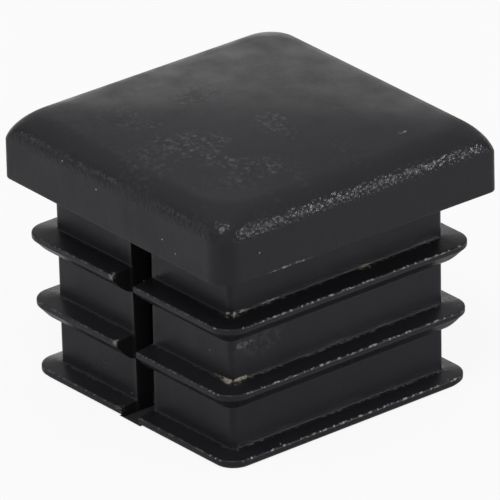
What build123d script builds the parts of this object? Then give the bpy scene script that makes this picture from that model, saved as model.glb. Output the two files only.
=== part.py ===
from build123d import *
import os
from math import cos, radians, sin, tan

# Square tube end cap: one moulding in soft plastic, all sizes in millimetres.
# The origin is the centre of the head's underside, in the plane that meets the
# end of the tube. +Z points out of the tube, and the stem hangs below z = 0.
# The slots in the stem face -Y and +Y.

# The tube that the cap closes
tube_width = 25.0       # outside of the square tube, flush with the head
tube_wall = 1.2         # wall of the tube

# Head
head_height = 5.2       # from the underside to where the top is rounded over
head_corner = 0.6       # radius of the upright corners
edge_round = 2.1        # rounding from the sides over to the top
crown_corner = 2.4      # corner radius, in plan, where the rounding meets the dome
crown_slope = 7.0       # degrees, slope of the top where the rounding meets the dome
edge_sections = 10      # outlines that the rounding is lofted through
dome_rise = 0.75        # height of the dome above the rounding, in the middle
dome_overlap = 0.15     # how far the dome's edges reach out over the rounding
dome_sink = 0.06        # how deep those edges are let into it

# Stem
stem_length = 15.1      # from the head's underside to the open end
stem_corner = 0.4       # radius of the stem's upright corners
stem_draft = 0.3        # degrees, the stem narrows towards its open end
stem_wall = 1.6         # wall next to the head
cavity_draft = 0.6      # degrees, the cavity widens towards its mouth
cavity_corner = 0.8     # radius of the cavity's upright corners
roof = 3.0              # head left above the cavity, without the dome

# Fins that grip the tube
fin_count = 3
fin_reach = 1.7         # how far the first fin stands out from the wall
fin_squeeze = 0.2       # how far the first fin is larger than the tube's inside
fin_step = 0.15         # each fin reaches this much less than the one above it
fin_first = 3.77        # from the head's underside down to the first fin
fin_pitch = 5.23        # from one fin to the next
fin_height = 1.95       # height of a fin at its root
fin_slope = 0.18        # fall of a fin's upper face, from root to tip
fin_tip = 0.5           # height of the upright land at a fin's tip
fin_belly = 0.22        # bulge of a fin's underside below a straight line
belly_sections = 3      # straight runs that the underside is lofted in
fin_corner = 1.75       # corner radius of a fin's tip, in plan
tip_break = 0.1         # bevel of the tip's two edges

# Slot that splits two opposite walls, so that the stem can be squeezed
slot_top = 2.4          # width at the head
slot_end = 1.9          # width at the open end
slot_corner = 0.3       # radius where its walls meet the head

bore = tube_width - 2 * tube_wall
fin_span = bore + 2 * fin_squeeze
stem_width = fin_span - 2 * fin_reach
stem_half = stem_width / 2
cavity_end = stem_width - 2 * stem_wall + 2 * stem_length * tan(radians(cavity_draft))
cavity_depth = stem_length + head_height - roof

# The crown is where the rounding ends and the dome begins
crown_half = tube_width / 2 - edge_round * (1 - sin(radians(crown_slope)))
crown_level = head_height - edge_round * (1 - cos(radians(crown_slope)))
dome_lift = 4 * (dome_rise + dome_sink)     # a patch rises to a quarter of its middle point


def wall_half(depth):
    """Half the stem's outside width, at a depth below the head."""
    return stem_half - depth * tan(radians(stem_draft))


with BuildPart() as dome:
    # The top of the head: a patch as wide as the crown, level along its four
    # edges, on a block with the crown's rounded corners
    dome_half = crown_half + dome_overlap
    dome_edge = crown_level - dome_sink
    net = [
        [(i * dome_half, j * dome_half, dome_edge + (dome_lift if i == j == 0 else 0)) for i in (-1, 0, 1)]
        for j in (-1, 0, 1)
    ]
    extrude(Face.make_bezier_surface(net), amount=edge_round, dir=(0, 0, -1))
    with BuildSketch(Plane.XY.offset(dome_edge - edge_round / 2)):
        RectangleRounded(2 * dome_half, 2 * dome_half, crown_corner)
    extrude(amount=edge_round, mode=Mode.INTERSECT)

with BuildPart() as fins:
    # Each fin is a plate as wide as the stem and its reach: an upper face that
    # falls a little towards the tip, an upright land, and a full underside
    for n in range(fin_count):
        depth = fin_first + n * fin_pitch
        wall = wall_half(depth)
        reach = fin_span / 2 - n * fin_step - wall
        land_top = depth + fin_slope
        land_end = land_top + fin_tip
        belly_height = depth + fin_height - land_end

        # Its outlines from the top down: how far each stands out, and its depth
        outlines = [
            (0, depth), (reach - tip_break, land_top), (reach, land_top + tip_break),
            (reach, land_end - tip_break), (reach - tip_break, land_end),
        ]
        for i in range(1, belly_sections + 1):
            share = i / belly_sections
            level = land_end + belly_height * share + 4 * fin_belly * share * (1 - share)
            outlines.append(((reach - tip_break) * (1 - share), level))

        for out, level in outlines:
            corner = stem_corner + (fin_corner - stem_corner) * out / reach
            with BuildSketch(Plane.XY.offset(-level)):
                RectangleRounded(2 * (wall + out), 2 * (wall + out), corner)
        loft(ruled=True)

with BuildPart() as end_cap:
    # Sides of the head, square with small upright corners
    with BuildSketch():
        RectangleRounded(tube_width, tube_width, head_corner)
    extrude(amount=head_height - edge_round)

    # The rounding over to the top: its corners open out as it climbs
    for i in range(edge_sections):
        turn = radians(90 - crown_slope) * i / (edge_sections - 1)
        width = tube_width - 2 * edge_round * (1 - cos(turn))
        corner = head_corner + (crown_corner - head_corner) * sin(turn)
        with BuildSketch(Plane.XY.offset(head_height - edge_round * (1 - sin(turn)))):
            RectangleRounded(width, width, corner)
    loft(ruled=True)

    add(dome.part)

    # Stem, solid at first
    with BuildSketch():
        RectangleRounded(stem_width, stem_width, stem_corner)
    extrude(amount=-stem_length, taper=stem_draft)

    add(fins.part)

    # The open end trims the last fin
    split(bisect_by=Plane.XY.offset(-stem_length), keep=Keep.TOP)

    # Cavity, from the open end up into the head
    with BuildSketch(Plane.XY.offset(-stem_length)):
        RectangleRounded(cavity_end, cavity_end, cavity_corner)
    extrude(amount=cavity_depth, taper=cavity_draft, mode=Mode.SUBTRACT)

    # Slots through the -Y and +Y walls and their fins
    with BuildSketch(Plane.XZ) as slot:
        with BuildLine():
            Polyline(
                (-slot_top / 2, 0), (slot_top / 2, 0),
                (slot_end / 2, -stem_length), (-slot_end / 2, -stem_length), close=True,
            )
        make_face()
        fillet(slot.vertices().sort_by(Axis.Y)[-2:], slot_corner)
    extrude(amount=fin_span, both=True, mode=Mode.SUBTRACT)

end_cap.part.label = "end_cap"
os.makedirs("parts", exist_ok=True)
export_step(end_cap.part, "parts/end_cap.step")
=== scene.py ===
from math import cos, pi, radians, sin, tan

import bpy
from mathutils import Matrix, Vector


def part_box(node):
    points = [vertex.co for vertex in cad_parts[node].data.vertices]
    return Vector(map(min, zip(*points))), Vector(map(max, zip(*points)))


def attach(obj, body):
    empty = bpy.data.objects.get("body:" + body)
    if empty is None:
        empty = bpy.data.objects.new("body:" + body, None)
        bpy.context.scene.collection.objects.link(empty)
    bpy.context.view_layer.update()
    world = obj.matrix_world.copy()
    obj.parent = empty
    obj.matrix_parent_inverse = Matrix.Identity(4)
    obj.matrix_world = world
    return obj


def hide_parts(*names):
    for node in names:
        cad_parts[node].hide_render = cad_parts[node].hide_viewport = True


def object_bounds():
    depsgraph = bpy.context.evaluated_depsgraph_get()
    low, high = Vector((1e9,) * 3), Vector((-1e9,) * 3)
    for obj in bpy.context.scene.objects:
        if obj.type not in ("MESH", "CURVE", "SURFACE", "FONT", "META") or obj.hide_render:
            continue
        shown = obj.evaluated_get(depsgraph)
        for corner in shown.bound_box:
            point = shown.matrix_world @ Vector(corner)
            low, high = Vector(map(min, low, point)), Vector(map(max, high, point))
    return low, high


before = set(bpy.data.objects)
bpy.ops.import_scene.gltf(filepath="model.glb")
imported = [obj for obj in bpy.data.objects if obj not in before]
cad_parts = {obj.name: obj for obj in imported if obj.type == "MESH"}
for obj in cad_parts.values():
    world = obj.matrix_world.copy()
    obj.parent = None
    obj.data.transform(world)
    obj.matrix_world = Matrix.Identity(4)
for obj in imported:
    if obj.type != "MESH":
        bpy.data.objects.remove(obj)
cad_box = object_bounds()

# ---------------------------------------------------------------------------
# The moulding: the whole end cap, one shot of soft black polyethylene. It is a
# rounded square at every level, so its skin is one profile, from the middle of
# the dome down over the fins and back up into the cavity, swept round.
# ---------------------------------------------------------------------------


class Link:
    """One socket of a node tree: arithmetic on it adds Math nodes to the tree."""

    def __init__(self, tree, socket):
        self.tree = tree
        self.socket = socket

    def math(self, operation, *others):
        return self.tree.node("ShaderNodeMath", {"operation": operation}, (self,) + others)

    def __add__(self, other):
        return self.math("ADD", other)

    def __sub__(self, other):
        return self.math("SUBTRACT", other)

    def __mul__(self, other):
        return self.math("MULTIPLY", other)

    def __truediv__(self, other):
        return self.math("DIVIDE", other)

    __radd__ = __add__
    __rmul__ = __mul__

    def __rsub__(self, other):
        return self.tree.node("ShaderNodeMath", {"operation": "SUBTRACT"}, (other, self))

    def __abs__(self):
        return self.math("ABSOLUTE")

    def step(self, low, high):
        """0 at low, 1 at high and smooth between them."""
        return self.tree.node(
            "ShaderNodeMapRange", {"interpolation_type": "SMOOTHSTEP"}, (self, low, high)
        )

    def vector(self, operation, *others, out=0, **sockets):
        """Vector maths, for places and directions."""
        given_sockets = dict(enumerate((self,) + others))
        return self.tree.node(
            "ShaderNodeVectorMath", {"operation": operation}, {**given_sockets, **sockets}, out
        )

    def part(self, axis):
        """The x, y or z of a vector."""
        return self.tree.node("ShaderNodeSeparateXYZ", {}, (self,), out=axis)


class Tree:
    """A node tree whose nodes all come from one method."""

    def __init__(self, nodes):
        self.tree = nodes

    def node(self, kind, settings, sockets, out=0):
        """Adds a node: its settings first, then its sockets, in order or by name. Returns one output."""
        node = self.tree.nodes.new(kind)
        for name, value in settings.items():
            setattr(node, name, value)
        for name, value in sockets.items() if isinstance(sockets, dict) else enumerate(sockets):
            for each in value if isinstance(value, list) else [value]:
                if isinstance(each, Link):
                    self.tree.links.new(each.socket, node.inputs[name])
                else:
                    node.inputs[name].default_value = each
        return Link(self, node.outputs[out]) if node.outputs else None


# Head, in millimetres: its width and height come from the CAD node
mm = 0.001
inset = 0.03                # how far the skin stays inside the node's sides
head_low, head_high = (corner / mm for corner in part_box("end_cap"))
half_head = head_high.x - inset
head_height = 5.2
head_corner = 0.6
near_corner = 1.6           # the upright corner between +X and -Y is rounder than the rest
edge_round = 2.1
crown_slope = 7             # degrees, where the rounding meets the dome
crown_corner = 2.4
dome_rise = head_high.z - head_height
dome_ridge = 0.35           # share of a form that is ridged along the diagonals
foot_round = 0.15
side_top = head_height - edge_round
crown_half = half_head - edge_round * (1 - sin(radians(crown_slope)))
crown_level = head_height - edge_round * (1 - cos(radians(crown_slope)))

# Stem and fins
stem_length = -head_low.z
stem_half = 9.8
stem_corner = 0.4
stem_draft = tan(radians(0.3))
root_round = 0.06
fin_count = 3
fin_first = 3.77            # from the head's underside down to the first fin
fin_pitch = 5.23
fin_height = 1.95
fin_reach = 1.72
fin_loss = 0.1226           # how much less each fin reaches than the one above
fin_slope = 0.18
fin_land = 0.5
fin_belly = 0.22
fin_corner = 1.75
tip_round = 0.13

# The stem cooled a little askew under the head
stem_turn = radians(0.88)
stem_shift = (-0.095, -0.156)
skew_depth = 0.3            # the skew comes in over this much of the neck

# Cavity
cavity_half = 8.2
cavity_draft = tan(radians(0.6))
cavity_corner = 0.8
cavity_top = 2.2
lip_round = 0.15
roof_round = 0.6

# Slot
slot_top = 2.4
slot_end = 1.9
slot_corner = 0.3


def arc(centre_half, centre_level, radius, start, end, steps):
    """Points of a rounding in the profile: half width and level, from one angle to the other."""
    angles = [radians(start + (end - start) * i / steps) for i in range(steps + 1)]
    return [(centre_half + radius * cos(a), centre_level + radius * sin(a)) for a in angles]


def run(start, end, steps):
    """Points between two points of the profile, both ends left out."""
    return [tuple(a + (b - a) * i / steps for a, b in zip(start, end)) for i in range(1, steps)]


def profile(name, points):
    """A mesh of loose points: x is the half width, y the corner radius and z the level."""
    mesh = bpy.data.meshes.new(name)
    mesh.from_pydata(points, [], [])
    return bpy.data.objects.new(name, mesh)


# The head's profile, from the middle of the dome down to the first fin
dome_rings = 36
dome = [
    (crown_half * i / dome_rings, crown_corner * i / dome_rings, crown_level)
    for i in range(dome_rings)
]
edge = [
    (half, head_corner + (crown_corner - head_corner) * (level - side_top) / edge_round, level)
    for half, level in arc(half_head - edge_round, side_top, edge_round, 90 - crown_slope, 0, steps=18)
]
side = run((half_head, side_top), (half_head, foot_round), steps=14)
foot = arc(half_head - foot_round, foot_round, foot_round, 0, -90, steps=4)
ledge = run((half_head - foot_round, 0), (stem_half + root_round, 0), steps=6)
root = arc(stem_half + root_round, -root_round, root_round, 90, 180, steps=3)
neck = run((stem_half, -root_round), (stem_half, -fin_first), steps=12)
head_points = dome + edge + [(half, head_corner, level) for half, level in side + foot + ledge]
head_points += [(half + stem_draft * level, stem_corner, level) for half, level in root + neck]
cap = profile("end_cap_moulding", head_points)

# One fin and the wall below it, measured out from the wall and down from the
# fin's root: a nearly level top, an upright land and a full underside
land_half = fin_reach - tip_round
land_end = fin_slope + fin_land
fin_top = arc(root_round, root_round, root_round, 180, 270, steps=3)
fin_top += run((root_round, 0), (land_half, -fin_slope), steps=5)
tip = arc(land_half, -fin_slope - tip_round, tip_round, 90, 0, steps=5)
tip += arc(land_half, tip_round - land_end, tip_round, 0, -60, steps=3)
belly = []
belly_steps = 8
for i in range(1, belly_steps):
    share = i / belly_steps
    fall = land_end + (fin_height - land_end) * share + 4 * fin_belly * share * (1 - share)
    belly.append((land_half * (1 - share), -fall))
wall = [(0, -fin_height)] + run((0, -fin_height), (0, -fin_pitch), steps=10)
fin = profile("fin", [
    (out, stem_corner + (fin_corner - stem_corner) * out / fin_reach, level)
    for out, level in fin_top + tip + belly + wall
])

# The core that leaves the cavity, from its mouth up to the roof
mouth_half = cavity_half + stem_length * cavity_draft
lip = arc(mouth_half + lip_round, lip_round - stem_length, lip_round, 270, 180, steps=3)
inner_wall = run((mouth_half, -stem_length), (cavity_half, cavity_top), steps=24)
roof_edge = arc(cavity_half - roof_round, cavity_top - roof_round, roof_round, 0, 90, steps=4)
roof = run((cavity_half - roof_round, cavity_top), (0, cavity_top), steps=10) + [(0, cavity_top)]
core_points = [(half, cavity_corner, level) for half, level in lip + inner_wall + roof_edge]
core_points += [(half, cavity_corner * half / cavity_half, level) for half, level in roof]
core = profile("core", core_points)

# The slot's cutter: it narrows towards the open end, and its top is rounded
overrun = 1.0               # how far it passes the stem's end and the head's sides
overrun_loss = 0.02         # how much narrower it is there
top_middle = slot_top / 2 - slot_corner
outline = [
    (top_middle + slot_corner * sin(radians(a)), slot_corner * cos(radians(a)) - slot_corner)
    for a in range(0, 91, 15)
]
outline += [(slot_end / 2 - overrun_loss, -stem_length - overrun)]
outline += [(-half, level) for half, level in reversed(outline)]
cutter_half = half_head + overrun
count = len(outline)
cutter_mesh = bpy.data.meshes.new("slot_cutter")
cutter_mesh.from_pydata(
    [(half, y, level) for y in (-cutter_half, cutter_half) for half, level in outline],
    [],
    [list(range(count - 1, -1, -1)), list(range(count, 2 * count))]
    + [[i, (i + 1) % count, (i + 1) % count + count, i + count] for i in range(count)],
)
askew = Matrix.Translation((*stem_shift, 0)) @ Matrix.Rotation(stem_turn, 4, "Z")
cutter_mesh.transform(askew)
cutter = bpy.data.objects.new("slot_cutter", cutter_mesh)

# The tree: it sets the fins down the stem, sweeps the profile round, raises
# the dome and cuts the slots
group = bpy.data.node_groups.new("moulding", "GeometryNodeTree")
group.interface.new_socket("Geometry", in_out="OUTPUT", socket_type="NodeSocketGeometry")
inputs = {
    "Geometry": "Geometry", "Fin": "Object", "Core": "Object", "Slot": "Object",
    "Finish": "Material", "Fins": "Int", "Pitch": "Float", "First fin": "Float",
    "Reach lost": "Float", "Side stations": "Int", "Corner stations": "Int",
    "Dome rise": "Float", "Crown half": "Float", "Ridge": "Float", "Near corner": "Float",
}
shape = Tree(group)
for label, kind in inputs.items():
    group.interface.new_socket(label, in_out="INPUT", socket_type="NodeSocket" + kind)
given = {label: shape.node("NodeGroupInput", {}, (), label) for label in inputs}


def points_of(name):
    """The mesh of the object that an input names."""
    return shape.node(
        "GeometryNodeObjectInfo", {"transform_space": "ORIGINAL"}, {"Object": given[name]}, "Geometry"
    )


def joined(x, y, z):
    """A place from its three parts."""
    return shape.node("ShaderNodeCombineXYZ", {}, (x, y, z))


position = shape.node("GeometryNodeInputPosition", {}, ())
index = shape.node("GeometryNodeInputIndex", {}, ())

# fins down the stem
spots = shape.node("GeometryNodeMeshLine", {}, {
    "Count": given["Fins"],
    "Start Location": joined(0.0, 0.0, 0.0 - given["First fin"]),
    "Offset": joined(0.0, 0.0, 0.0 - given["Pitch"]),
})
fins = shape.node("GeometryNodeInstanceOnPoints", {}, {
    "Points": spots,
    "Instance": points_of("Fin"),
    "Scale": joined(1.0 - index * given["Reach lost"], 1.0, 1.0),
})
fins = shape.node("GeometryNodeRealizeInstances", {}, (fins,))
height = position.part(2)
fins = shape.node("GeometryNodeSetPosition", {}, {
    "Geometry": fins,
    "Position": joined(
        position.part(0) + stem_half + stem_draft * height,
        position.part(1),
        height.math("MAXIMUM", -stem_length),
    ),
})
line = shape.node("GeometryNodeJoinGeometry", {}, {
    "Geometry": [points_of("Core"), fins, given["Geometry"]],
})

# the sweep: a row of stations for each point of the profile
rows = shape.node("GeometryNodeAttributeDomainSize", {}, (line,), "Point Count")
side_stations, corner_stations = given["Side stations"], given["Corner stations"]
per_side = side_stations + corner_stations
stations = per_side * 4
skin = shape.node("GeometryNodeMeshGrid", {}, {"Vertices X": rows, "Vertices Y": stations + 1})
row = ((index + 0.5) / (stations + 1)).math("FLOOR")
station = (index - row * (stations + 1)).math("MODULO", stations)
turn = ((station + 0.5) / per_side).math("FLOOR")
local = station - turn * per_side
along = (local * 2 / side_stations - 1).math("MINIMUM", 1.0)
angle = (local - side_stations).math("MAXIMUM", 0.0) / corner_stations * (pi / 2)
sample = shape.node("GeometryNodeSampleIndex", {"data_type": "FLOAT_VECTOR"}, {
    "Geometry": line, "Value": position, "Index": row,
})
half, corner, level = (sample.part(axis) for axis in range(3))

# the rounder corner, between the last side and the first, on the head alone
past_middle = along.math("GREATER_THAN", 0.0)
last_side, first_side = turn.math("COMPARE", 3.0, 0.5), turn.math("COMPARE", 0.0, 0.5)
at_corner = last_side * past_middle + first_side * (1 - past_middle)
on_rim = at_corner * half.math("GREATER_THAN", crown_half - 0.01) * level.math("GREATER_THAN", -0.001)
corner = corner + on_rim * (corner.math("MAXIMUM", given["Near corner"]) - corner)

# the dome, between a cushion and a ring, and the skew of the stem
x = half - corner + corner * angle.math("COSINE")
y = (half - corner) * along + corner * angle.math("SINE")
bulge_x = (1.0 - (x / given["Crown half"]).math("POWER", 2.0)).math("MAXIMUM", 0.0)
bulge_y = (1.0 - (y / given["Crown half"]).math("POWER", 2.0)).math("MAXIMUM", 0.0)
on_dome = level.math("COMPARE", crown_level, 0.001)
ring = half / given["Crown half"]
cushion, ridged = bulge_x * bulge_y, 1.0 - ring * ring
rise = given["Dome rise"] * (cushion + (ridged - cushion) * given["Ridge"]) * on_dome
skew = level.step(0.0, -skew_depth)
turned = shape.node("ShaderNodeVectorRotate", {"rotation_type": "Z_AXIS"}, {
    "Vector": joined(x, y, level + rise), "Angle": turn * (pi / 2) + skew * stem_turn,
})
turned = turned.vector("ADD", joined(skew * stem_shift[0], skew * stem_shift[1], 0.0))
skin = shape.node("GeometryNodeSetPosition", {}, {"Geometry": skin, "Position": turned})
skin = shape.node("GeometryNodeMergeByDistance", {}, {"Geometry": skin, "Distance": 0.0005})

# the slots
skin = shape.node("GeometryNodeMeshBoolean", {"operation": "DIFFERENCE", "solver": "MANIFOLD"}, {
    "Mesh 1": skin, "Mesh 2": points_of("Slot"),
})
skin = shape.node("GeometryNodeSetPosition", {}, {
    "Geometry": skin, "Position": position.vector("SCALE", Scale=mm),
})
skin = shape.node("GeometryNodeRealizeInstances", {}, (skin,))
skin = shape.node("GeometryNodeSetMaterial", {}, {"Geometry": skin, "Material": given["Finish"]})
shape.node("NodeGroupOutput", {}, (skin,))

# The finish: black through and through. The head's rounding is spark-eroded
# coarse in the mould and the dome fine, and the walls are smoother, with draw
# marks, worn fins and dust, and painted glints on the fins' brims and joints and
# the slot's edges
black = (0.0105, 0.0101, 0.0115, 1)
scuff_grey = (0.125, 0.12, 0.125, 1)
# a grey for wear mixed with painted highlight on the fins' brims, joints and slot edges, and a white for
# painted glints on the brims that face the side lamp
wear_and_glint_grey = (0.06, 0.058, 0.06, 1)
glint_white = (0.3, 0.29, 0.3, 1)
dust_tint = (0.5, 0.49, 0.45, 1)
top_roughness = 0.42
side_roughness = 0.38
edge_roughness = 0.27

finish = bpy.data.materials.new("black_plastic")
finish.use_nodes = True
finish.node_tree.nodes.clear()
plastic = Tree(finish.node_tree)
place = plastic.node("ShaderNodeTexCoord", {}, (), "Object").vector("SCALE", Scale=1 / mm)


def noise(vector, scale, detail=2.0, roughness=0.5):
    """Cloudy noise from 0 to 1, with its scale in features per millimetre."""
    return plastic.node("ShaderNodeTexNoise", {}, {
        "Vector": vector, "Scale": scale, "Detail": detail, "Roughness": roughness,
    })


def cells(scale):
    """Distance to the nearest of a scatter of points, in cells."""
    return plastic.node("ShaderNodeTexVoronoi", {}, {"Vector": place, "Scale": scale})


def tinted(mask, under, over):
    """One colour laid over another, where the mask is 1."""
    return plastic.node("ShaderNodeMix", {"data_type": "RGBA"}, {0: mask, 6: under, 7: over}, 2)


def between(mask, low, high):
    """One number where the mask is 0 and another where it is 1."""
    return mask * (high - low) + low


def from_centre(centre, radii):
    """0 in the middle of an ellipsoid and 1 at its skin."""
    return place.vector("SUBTRACT", centre).vector("DIVIDE", radii).vector("LENGTH", out="Value")


# where on the head: its top, the rounding round it, and the side where that is calmer
x, y, z = (place.part(axis) for axis in range(3))
on_top = z.step(side_top - 0.2, side_top + 0.6)
on_edge = z.step(side_top - 0.3, side_top + 0.4) * (1 - z.step(head_height - 0.9, head_height - 0.25))
calm = (0 - y).step(9.8, 10.8) * (1 - x.step(9.5, 10.8)) * 0.45

# where on the stem, measured as it stands, out from its wall and down from each fin
on_stem = 1 - z.step(-0.02, 0.02)
stem_place = plastic.node("ShaderNodeMapping", {"vector_type": "TEXTURE"}, {
    "Vector": place, "Location": (*stem_shift, 0), "Rotation": (0, 0, stem_turn),
})
across, through = stem_place.part(0), stem_place.part(1)
stand_out = abs(across).math("MAXIMUM", abs(through)) - stem_half - z * stem_draft
below_fin = (0 - z - fin_first).math("WRAP", fin_pitch, 0.0)
reach_there = (z + fin_first) * (fin_loss / fin_pitch) + fin_reach
slot_side = abs(across) - slot_top / 2 - z * ((slot_top - slot_end) / 2 / stem_length)

# the fins' brims, the joints of fins and wall, and the slot's edges
on_brim = on_stem * (stand_out - reach_there).step(-0.15, -0.05) * (1 - below_fin.step(0.22, 0.34))
on_joint = on_stem * (1 - abs(stand_out - 0.05).step(0.05, 0.2))
on_joint = on_joint * (1 - abs(below_fin - 0.05).step(0.05, 0.22))
on_slot_edge = on_stem * (1 - slot_side.step(0.1, 0.45))
on_slot_edge = on_slot_edge * (1 - stand_out.step(0.1, 0.3)) * stand_out.step(-0.15, -0.05)

# relief, in millimetres
fine = noise(place, 5.5, 2.0, 0.6)
coarse = noise(place, 2.8, 2.0, 0.6)
pebbles = cells(3.3)
clouds = noise(place, 0.22, 2.0, 0.55)
draw_marks = noise(place.vector("MULTIPLY", (1.5, 1.5, 0.12)), 1.0, 3.0, 0.65)
sweep_marks = noise(place, 0.45, 3.0, 0.55)
grain = (coarse - 0.5) * 0.045 + (pebbles - 0.45) * 0.036
drawn = (draw_marks - 0.5) * 0.011 * (1 - z.step(1.5, 3.0))
relief = on_top * (1 - on_edge) * fine * 0.006 + on_edge * (1 - calm) * grain
relief += (1 - on_top) * (drawn + fine * 0.009 + sweep_marks * 0.03)
relief += (on_brim + on_joint) * (coarse - 0.5) * 0.05
bump = plastic.node("ShaderNodeBump", {}, {"Strength": 1.0, "Distance": mm, "Height": relief})

# scuffs on the dome, brims and joints partly worn and partly lit by painted glints, whiter on the side
# that faces the side lamp, and dust
flecks = noise(place, 2.3, 4.0, 0.75).step(0.48, 0.64)
front = 1 - from_centre((1.5, -3.5, 5.5), (10.0, 8.0, 8.0)).step(0.2, 1.2)
veins = 1 - abs(noise(place, 1.2, 3.0, 0.6) - 0.5).step(0.0, 0.05)
scuffed = on_top * flecks * between(veins, 0.5, 1.0) * clouds.step(0.44, 0.6) * between(front, 0.1, 1.0)
# wear mixed with painted highlight: the brims, the joints of fins and wall and the slot's edges are
# lightened where glints would catch them
wear_and_glint = (on_brim + on_joint * 0.6) * coarse.step(0.48, 0.6) + on_slot_edge * 0.25
# painted glints: brims and joints lightened in sparse dots on the side that faces the side lamp
painted_brim_glint = (on_brim + on_joint * 0.5) * across.step(8.6, 9.4) * coarse.step(0.52, 0.62)
dust = (1 - cells(0.5).step(0.018, 0.034)) * (1 - on_top) * clouds.step(0.46, 0.54)
colour = tinted(scuffed, black, scuff_grey)
colour = tinted(wear_and_glint.math("MINIMUM", 1.0), colour, wear_and_glint_grey)
colour = tinted(painted_brim_glint, colour, glint_white)
colour = tinted(dust, colour, dust_tint)

# marks of handling, and painted highlights on burrs: the place and size of each, its tint and its
# strength
speck = 0.07
marks = (
    # chalk round the second fin's root, at the +X -Y corner
    ((9.8, -9.3, -8.87), (2.0, 2.1, 0.17), (0.42, 0.40, 0.30, 1), 0.9),
    # residue along the first fin's root
    ((9.85, -9.5, -3.64), (0.9, 1.2, 0.18), (0.42, 0.40, 0.32, 1), 0.85),
    ((9.8, -7.2, -3.66), (0.4, 2.8, 0.11), (0.28, 0.27, 0.25, 1), 0.7),
    # a scuff on the wall between them, in a faint cloud
    ((9.8, -8.5, -6.3), (0.4, 1.0, 0.3), (0.26, 0.25, 0.23, 1), 0.55),
    ((9.8, -7.2, -6.4), (0.5, 2.8, 1.5), (0.04, 0.04, 0.04, 1), 0.5),
    # a smear further along the first fin's root
    ((9.8, 2.6, -3.75), (0.4, 0.7, 0.16), (0.24, 0.23, 0.15, 1), 0.7),
    # painted highlights on burrs at the three fins' corners, beside the slot
    ((-1.35, -11.5, -4.1), (0.35, 0.4, 0.3), (0.22, 0.22, 0.22, 1), 0.8),
    ((-1.3, -11.3, -9.3), (0.35, 0.4, 0.3), (0.22, 0.22, 0.22, 1), 0.8),
    ((-1.2, -11.2, -14.6), (0.35, 0.4, 0.3), (0.22, 0.22, 0.22, 1), 0.8),
    # specks on the sides
    ((-1.65, -12.5, 2.83), (0.08, 0.08, 0.08), (0.4, 0.5, 0.5, 1), 1.0),
    ((12.5, -11.36, 2.55), (speck, speck, speck), (0.5, 0.5, 0.5, 1), 0.8),
    ((12.5, -9.07, 1.91), (speck, speck, speck), (0.5, 0.5, 0.5, 1), 0.8),
    ((7.27, -12.5, 1.03), (speck, speck, speck), (0.45, 0.45, 0.45, 1), 0.8),
    ((7.45, -9.76, -7.22), (speck, speck, speck), (0.45, 0.45, 0.45, 1), 0.8),
    ((-5.58, -12.42, 3.65), (speck, speck, speck), (0.45, 0.45, 0.45, 1), 0.8),
    # lint on the dome
    ((9.3, 6.45, 5.3), (0.13, 0.5, 0.4), (0.30, 0.30, 0.30, 1), 0.7),
    # residue under the head's edge
    ((12.5, -6.3, 0.03), (0.35, 2.1, 0.22), (0.40, 0.39, 0.38, 1), 0.9),
)
largest_whole_mark = 0.2    # anything larger is broken up by the grain
for centre, radii, tint, strength in marks:
    broken = coarse.step(0.42, 0.6) if max(radii) > largest_whole_mark else 1.0
    laid = (1 - from_centre(centre, radii).step(0.5, 1.1)) * broken * strength
    colour = tinted(laid, colour, tint)

roughness = between(on_edge, between(on_top, side_roughness, top_roughness), edge_roughness)
roughness += (clouds - 0.5) * 0.16 + (fine - 0.5) * 0.12 + (sweep_marks - 0.5) * 0.25
roughness = roughness - on_stem * 0.05 + scuffed * 0.15 + dust * 0.3
surface = plastic.node("ShaderNodeBsdfPrincipled", {}, {
    "Base Color": colour,
    "Roughness": roughness,
    "Normal": bump,
    "Specular IOR Level": 0.3,
    "Specular Tint": (0.93, 0.90, 1.0, 1),
})
plastic.node("ShaderNodeOutputMaterial", {}, (surface,))

# The finished mesh
bpy.context.collection.objects.link(cap)
modifier = cap.modifiers.new("moulding", "NODES")
modifier.node_group = group
sizes = {
    "Fin": fin, "Core": core, "Slot": cutter, "Finish": finish, "Fins": fin_count,
    "Pitch": fin_pitch, "First fin": fin_first, "Reach lost": fin_loss / fin_reach,
    "Side stations": 76, "Corner stations": 10, "Dome rise": dome_rise,
    "Crown half": crown_half, "Ridge": dome_ridge, "Near corner": near_corner,
}
for item in group.interface.items_tree:
    if item.in_out == "INPUT" and item.name in sizes:
        modifier[item.identifier] = sizes[item.name]
evaluated = cap.evaluated_get(bpy.context.evaluated_depsgraph_get())
done = bpy.data.meshes.new_from_object(evaluated)
cap.modifiers.clear()
cap.data = done
for polygon in done.polygons:
    polygon.use_smooth = True
done.set_sharp_from_angle(angle=radians(32))
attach(cap, "root")
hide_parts("end_cap")
for spare in (fin, core, cutter):
    bpy.data.objects.remove(spare)

# ---------------------------------------------------------------------------
# The floor: a sheet of white paper that the cap stands on. It looks white, and
# the moulding's gloss mirrors it, with painted shade close by and towards the
# front standing for the cap's shadow. Where it shows through the slot's mouth it
# is painted dark, as a painted shadow.
# ---------------------------------------------------------------------------
floor_half = 1.5            # metres
floor_level = cad_box[0][2]
paper_white = (0.66, 0.66, 0.66, 1)
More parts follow.
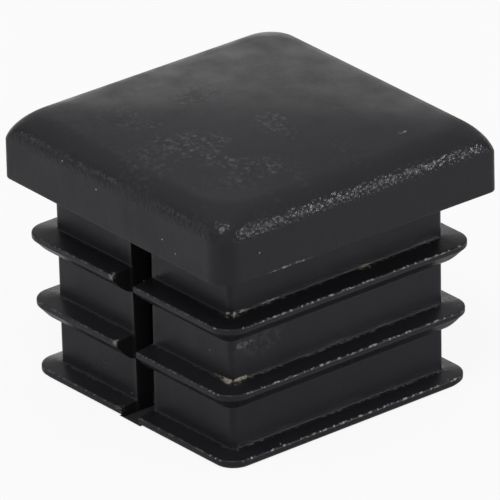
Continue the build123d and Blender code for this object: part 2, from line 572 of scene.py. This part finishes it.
# the painted shadow's colour, for the floor in the slot's mouth
shade = (0.03, 0.03, 0.03, 1)
seen_white = 0.9
mirrored_white = 0.34
corners = ((-1, -1), (1, -1), (1, 1), (-1, 1))
floor_mesh = bpy.data.meshes.new("floor")
floor_mesh.from_pydata(
    [(side_x * floor_half, side_y * floor_half, floor_level) for side_x, side_y in corners],
    [],
    [(0, 1, 2, 3)],
)
floor = bpy.data.objects.new("floor", floor_mesh)
bpy.context.collection.objects.link(floor)
floor_finish = bpy.data.materials.new("floor_white")
floor_finish.use_nodes = True
floor_finish.node_tree.nodes.clear()
paper = Tree(floor_finish.node_tree)
spot = paper.node("ShaderNodeTexCoord", {}, (), "Object").vector("SCALE", Scale=1 / mm)
beside, before = abs(spot.part(0) - stem_shift[0]), abs(spot.part(1) - stem_shift[1])
from_stem = beside.math("MAXIMUM", before)
# painted shadow: the floor in the slot's mouth gets a near-black diffuse colour
in_slot = (1 - beside.step(1.1, 1.25)) * from_stem.step(6.5, 7.5) * (1 - from_stem.step(11.05, 11.15))
open_floor = from_stem.step(9.0, 9.6) * (1 - in_slot)
to_front = spot.vector("NORMALIZE").vector("DOT_PRODUCT", (0.954, -0.3, 0.0), out="Value")
# painted shade in what the gloss mirrors: less white close to the cap and towards the front, standing
# for the cap's shadow
mirror_shade_paint = from_stem.step(14.0, 42.0) * (1 - to_front.step(0.6, 0.85))
seen = paper.node("ShaderNodeLightPath", {}, (), "Is Camera Ray") * seen_white
mirrored = paper.node("ShaderNodeLightPath", {}, (), "Is Glossy Ray") * mirror_shade_paint * mirrored_white
matt = paper.node("ShaderNodeBsdfDiffuse", {}, {"Color": paper_white})
painted_shadow = paper.node("ShaderNodeBsdfDiffuse", {}, {"Color": shade})
glow = paper.node("ShaderNodeEmission", {}, {"Color": (1, 1, 1, 1), "Strength": 1.0})
sheet = paper.node("ShaderNodeMixShader", {}, ((seen + mirrored) * open_floor, matt, glow))
sheet = paper.node("ShaderNodeMixShader", {}, (in_slot, sheet, painted_shadow))
paper.node("ShaderNodeOutputMaterial", {}, (sheet,))
floor.data.materials.append(floor_finish)

# ---------------------------------------------------------------------------
# The light: a white studio that is brighter overhead, and four softboxes that
# put the glints on the head's rounding and on the fins' brims.
# ---------------------------------------------------------------------------
low_sky = 0.34
high_sky = 0.70
world = bpy.data.worlds.new("studio")
bpy.context.scene.world = world
world.use_nodes = True
world.node_tree.nodes.clear()
air = Tree(world.node_tree)
facing = air.node("ShaderNodeTexCoord", {}, (), "Generated")
facing = facing.vector("DOT_PRODUCT", (0.3, -0.25, 0.92), out="Value")
brightness = between(facing.step(0.08, 0.45), low_sky, high_sky)
sky = air.node("ShaderNodeBackground", {}, {"Color": (1, 1, 1, 1), "Strength": brightness})
air.node("ShaderNodeOutputWorld", {}, (sky,))


def softbox(name, direction, width, power):
    """A square lamp half a metre away that faces the cap."""
    lamp = bpy.data.lights.new(name, "AREA")
    lamp.size = width
    lamp.energy = power
    holder = bpy.data.objects.new(name, lamp)
    away = Vector(direction).normalized()
    holder.location = away * 0.5
    holder.rotation_euler = away.to_track_quat("Z", "Y").to_euler()
    bpy.context.collection.objects.link(holder)


softbox("side_box", (0.82, 0.56, 0.14), 0.05, 0.38)
softbox("left_box", (-0.71, -0.68, 0.17), 0.05, 0.032)
softbox("top_box", (0.2, -0.36, 0.9), 0.16, 0.75)
softbox("back_box", (-0.77, 0.6, 0.1), 0.14, 0.12)

# ---------------------------------------------------------------------------
# The camera: a long lens that looks down on the corner between the slotted
# side and the plain one, turned a little on its own axis.
# ---------------------------------------------------------------------------
azimuth = radians(51.947)
elevation = radians(25.105)
roll = radians(-1.329)
distance = 800 * mm
aim_right, aim_up = -0.02 * mm, -4.683 * mm
pixels_per_radian = 11295.2
picture_width = 500
sensor = 36.0
back = Vector((sin(azimuth) * cos(elevation), -cos(azimuth) * cos(elevation), sin(elevation)))
right = Vector((cos(azimuth), sin(azimuth), 0))
up = back.cross(right)
right, up = right * cos(roll) + up * sin(roll), up * cos(roll) - right * sin(roll)
camera = bpy.data.objects.new("camera", bpy.data.cameras.new("camera"))
camera.data.sensor_width = sensor
camera.data.lens = sensor * pixels_per_radian / picture_width
camera.data.clip_start = 0.01
eye = back * distance
forward = (right * aim_right + up * aim_up - eye).normalized()
rightward = forward.cross(up).normalized()
camera.matrix_world = Matrix((rightward, rightward.cross(forward), -forward)).transposed().to_4x4()
camera.location = eye
bpy.context.collection.objects.link(camera)
bpy.context.scene.camera = camera
bpy.context.scene.view_settings.view_transform = "Standard"
